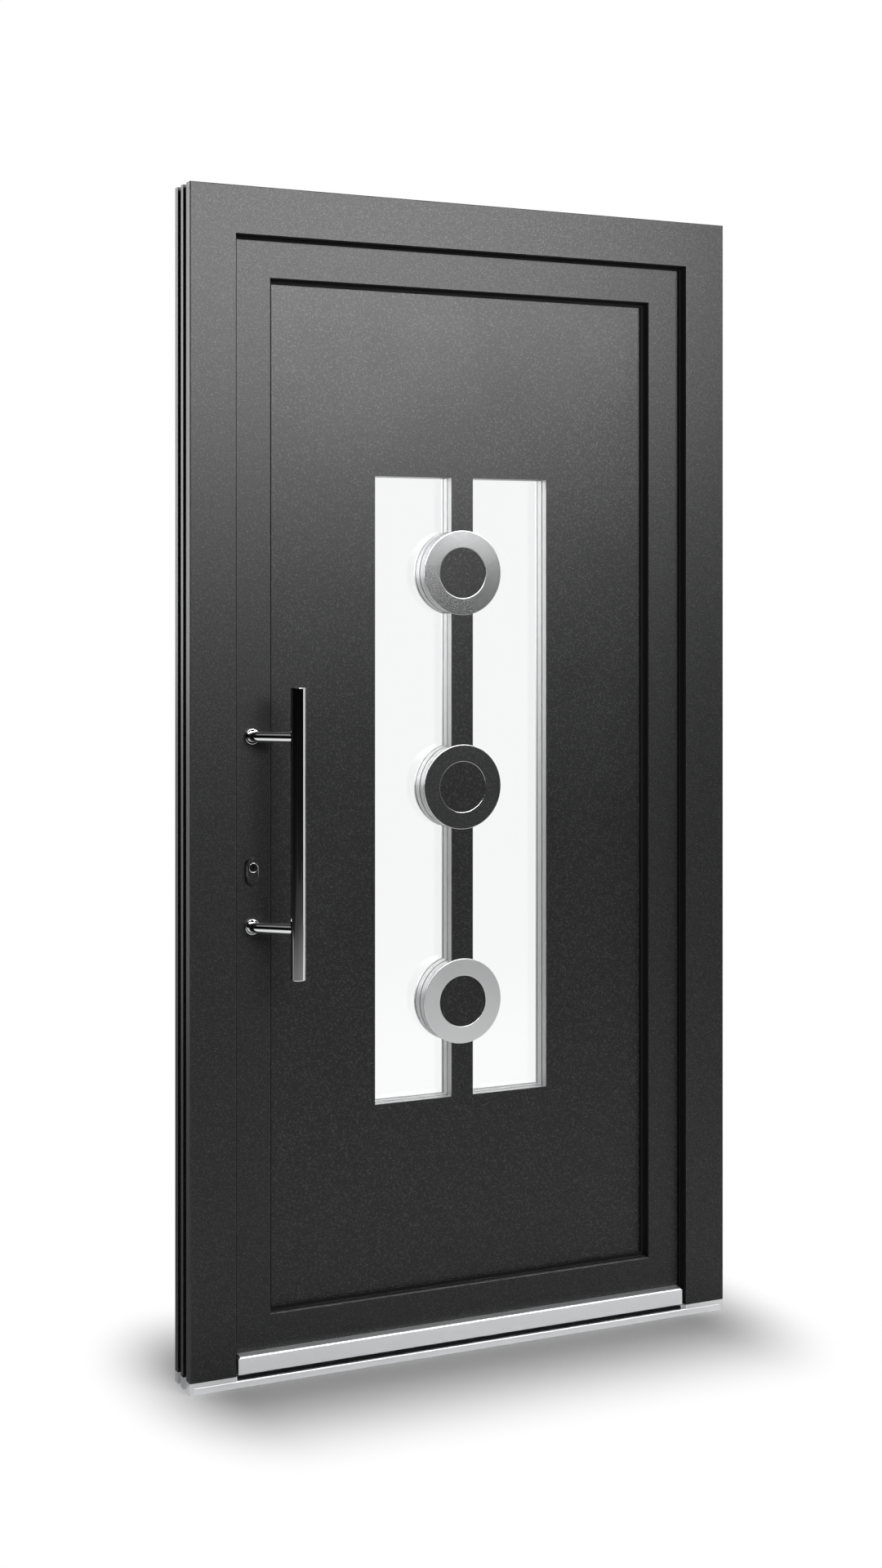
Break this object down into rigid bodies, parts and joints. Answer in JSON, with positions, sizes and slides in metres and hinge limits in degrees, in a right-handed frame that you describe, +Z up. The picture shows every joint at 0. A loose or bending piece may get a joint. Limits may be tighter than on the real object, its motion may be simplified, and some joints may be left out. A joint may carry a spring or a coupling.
{
  "type": "upvc door",
  "caption": "Inward-opening uPVC entrance door in its frame, with a twin-window panel, three discs, pull handle, lock, weather bar and threshold.",
  "frame": {"origin": "centre of the threshold's flat underside, on the middle of the frame's depth", "axes": "+X to the right seen from outside, +Y from outside into the house, +Z up"},
  "size_m": [1.08, 0.2205, 2.09],
  "materials": {
    "foil": "fine-grained anthracite foil",
    "aluminium": "silver anodised",
    "steel": "satin",
    "polished_steel": "polished",
    "dark_steel": "darkened satin",
    "dark_inlay": "semi-gloss",
    "black_rubber": "matt",
    "glass": "clear"
  },
  "bodies": {
    "frame": {"left_jamb": "foil", "right_jamb": "foil", "head": "foil", "threshold": "aluminium", "threshold_end_left": "aluminium", "threshold_end_right": "aluminium", "frame_seal": "black_rubber", "strike_plate": "steel", "frame_hinge_lower": "steel", "frame_hinge_middle": "steel", "frame_hinge_upper": "steel"},
    "leaf": {"left_stile": "foil", "right_stile": "foil", "top_rail": "foil", "bottom_rail": "foil", "leaf_seal": "black_rubber", "bottom_seal": "black_rubber", "glazing_seal": "black_rubber", "glazing_beads": "foil", "panel_skin": "foil", "panel_body": "foil", "left_window_trim": "steel", "right_window_trim": "steel", "glass_outer_pane": "glass", "glass_spacer": "aluminium", "glass_inner_pane": "glass", "disc_top_ring": "steel", "disc_top_insert": "dark_inlay", "disc_middle_ring": "steel", "disc_middle_inlay": "dark_inlay", "disc_middle_insert": "dark_inlay", "disc_bottom_ring": "steel", "disc_bottom_insert": "dark_inlay", "pull_bar": "polished_steel", "pull_arm_upper": "polished_steel", "pull_arm_lower": "polished_steel", "escutcheon": "dark_steel", "lock_cylinder": "steel", "lock_faceplate": "steel", "inner_handle": "steel", "leaf_hinge_lower": "steel", "leaf_hinge_middle": "steel", "leaf_hinge_upper": "steel", "weather_bar": "aluminium"},
    "plug": {"cylinder_plug": "steel"}
  },
  "joints": [
    {"name": "leaf_swing", "type": "hinge", "parent": "frame", "child": "leaf", "pos_m": [0.505, 0.068, 1.04], "axis": [0, 0, -1], "range_deg": [0, 95]},
    {"name": "plug_turn", "type": "hinge", "parent": "leaf", "child": "plug", "pos_m": [-0.42, -0.02, 0.901], "axis": [0, -1, 0], "range_deg": [0, 360]}
  ]
}
